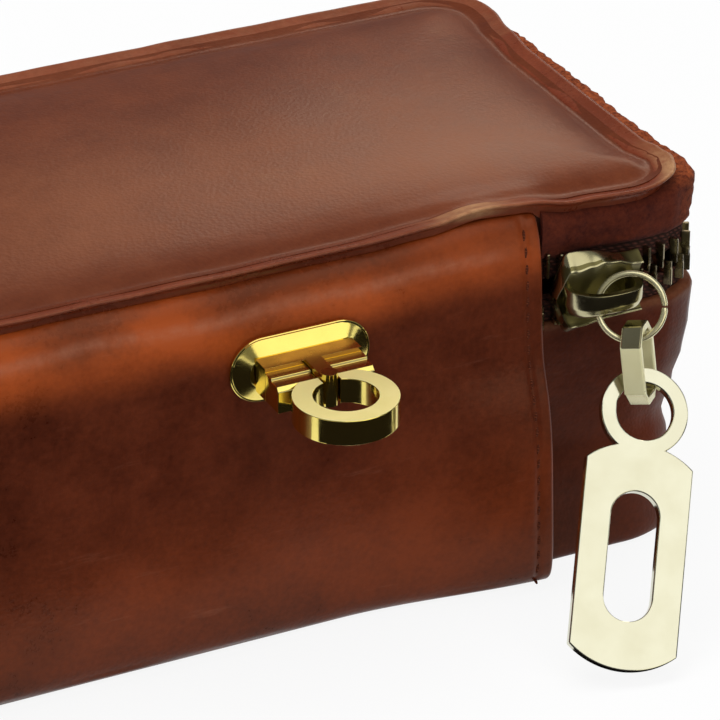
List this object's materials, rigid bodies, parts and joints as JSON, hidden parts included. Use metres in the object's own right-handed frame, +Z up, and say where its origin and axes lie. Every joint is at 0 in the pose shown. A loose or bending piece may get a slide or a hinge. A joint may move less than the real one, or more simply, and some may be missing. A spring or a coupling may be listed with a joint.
{
  "type": "jewellery case",
  "caption": "Padded leather jewellery case with a back-hinged zipped lid, a drop-down front flap, quarter-turn ring locks and hanging zip tags.",
  "frame": {"origin": "centre of the bottom face of the case", "axes": "+Z up, -Y towards the front flap, +X to the right along the case's length"},
  "size_m": [0.2394, 0.128, 0.0696],
  "materials": {
    "leather": "smooth waxed leather, worn at the edges",
    "suede": "suede",
    "board": "raw stiff board",
    "foam": "soft foam padding",
    "zip_tape": "woven cotton tape",
    "antique_brass": "aged brass",
    "gold": "polished pale gold plate",
    "mirror": "silvered glass"
  },
  "bodies": {
    "base": {"base_shell": "board", "bottom_leather": "leather", "base_wall_leather": "leather", "base_lining": "suede", "long_divider": "suede", "cross_dividers": "suede", "ring_rolls": "suede", "flap_root": "leather", "hinge_strip_lower": "leather", "lower_tape_right": "zip_tape", "lower_tape_left": "zip_tape", "lower_teeth_right": "antique_brass", "lower_teeth_left": "antique_brass", "zip_end_stops": "antique_brass"},
    "lid": {"lid_board": "board", "lid_pad": "foam", "lid_leather": "leather", "lid_piping": "leather", "lid_gusset": "suede", "lid_apron": "suede", "keeper_right": "gold", "keeper_left": "gold", "hinge_strip_upper": "leather", "upper_tape_right": "zip_tape", "upper_tape_left": "zip_tape", "upper_teeth_right": "antique_brass", "upper_teeth_left": "antique_brass", "lid_lining": "suede", "mirror_frame": "leather", "lid_mirror": "mirror"},
    "flap": {"front_flap": "leather", "flap_backing": "suede", "lock_plate_right": "gold", "lock_plate_left": "gold", "back_plate_right": "gold", "back_plate_left": "gold", "lock_rivets_right": "gold", "lock_rivets_left": "gold"},
    "ring_lock_right": {"turn_ring_right": "gold", "lock_post_right": "gold"},
    "zip_slider_right": {"slider_right": "antique_brass"},
    "pull_ring_right": {"jump_ring_right": "gold"},
    "pull_link_right": {"link_right": "gold"},
    "pull_tag_right": {"tag_right": "gold"},
    "ring_lock_left": {"turn_ring_left": "gold", "lock_post_left": "gold"},
    "zip_slider_left": {"slider_left": "antique_brass"},
    "pull_ring_left": {"jump_ring_left": "gold"},
    "pull_link_left": {"link_left": "gold"},
    "pull_tag_left": {"tag_left": "gold"}
  },
  "joints": [
    {"name": "lid_hinge", "type": "hinge", "parent": "base", "child": "lid", "pos_m": [0, 0.0429, 0.0525], "axis": [-1, 0, 0], "range_deg": [0, 100]},
    {"name": "flap_hinge", "type": "hinge", "parent": "base", "child": "flap", "pos_m": [0, -0.0451, 0.0016], "axis": [1, 0, 0], "range_deg": [0, 25]},
    {"name": "lock_turn_right", "type": "hinge", "parent": "flap", "child": "ring_lock_right", "pos_m": [0.0445, -0.0459, 0.0525], "axis": [0, 1, 0], "range_deg": [0, 90]},
    {"name": "zip_slide_right", "type": "slide", "parent": "base", "child": "zip_slider_right", "axis": [1, 0, 0], "range_m": [0, 0.012]},
    {"name": "pull_ring_swing_right", "type": "hinge", "parent": "zip_slider_right", "child": "pull_ring_right", "pos_m": [0.09973, -0.04697, 0.05311], "axis": [-1, 0, 0], "range_deg": [-6, 10]},
    {"name": "pull_link_swing_right", "type": "hinge", "parent": "pull_ring_right", "child": "pull_link_right", "pos_m": [0.10322, -0.05309, 0.0458], "axis": [-0.9215, 0.3572, -0.1526], "range_deg": [-8, 15]},
    {"name": "pull_tag_swing_right", "type": "hinge", "parent": "pull_link_right", "child": "pull_tag_right", "pos_m": [0.10361, -0.05408, 0.03932], "axis": [-0.9633, 0.2561, 0.0806], "range_deg": [-10, 15]},
    {"name": "lock_turn_left", "type": "hinge", "parent": "flap", "child": "ring_lock_left", "pos_m": [-0.0445, -0.0459, 0.0525], "axis": [0, 1, 0], "range_deg": [0, 90]},
    {"name": "zip_slide_left", "type": "slide", "parent": "base", "child": "zip_slider_left", "axis": [-1, 0, 0], "range_m": [0, 0.012]},
    {"name": "pull_ring_swing_left", "type": "hinge", "parent": "zip_slider_left", "child": "pull_ring_left", "pos_m": [-0.09973, -0.04697, 0.05311], "axis": [-1, 0, 0], "range_deg": [-6, 10]},
    {"name": "pull_link_swing_left", "type": "hinge", "parent": "pull_ring_left", "child": "pull_link_left", "pos_m": [-0.10322, -0.05309, 0.0458], "axis": [-0.9215, -0.3572, 0.1526], "range_deg": [-8, 15]},
    {"name": "pull_tag_swing_left", "type": "hinge", "parent": "pull_link_left", "child": "pull_tag_left", "pos_m": [-0.10361, -0.05408, 0.03932], "axis": [-0.9633, -0.2561, -0.0806], "range_deg": [-10, 15]}
  ]
}
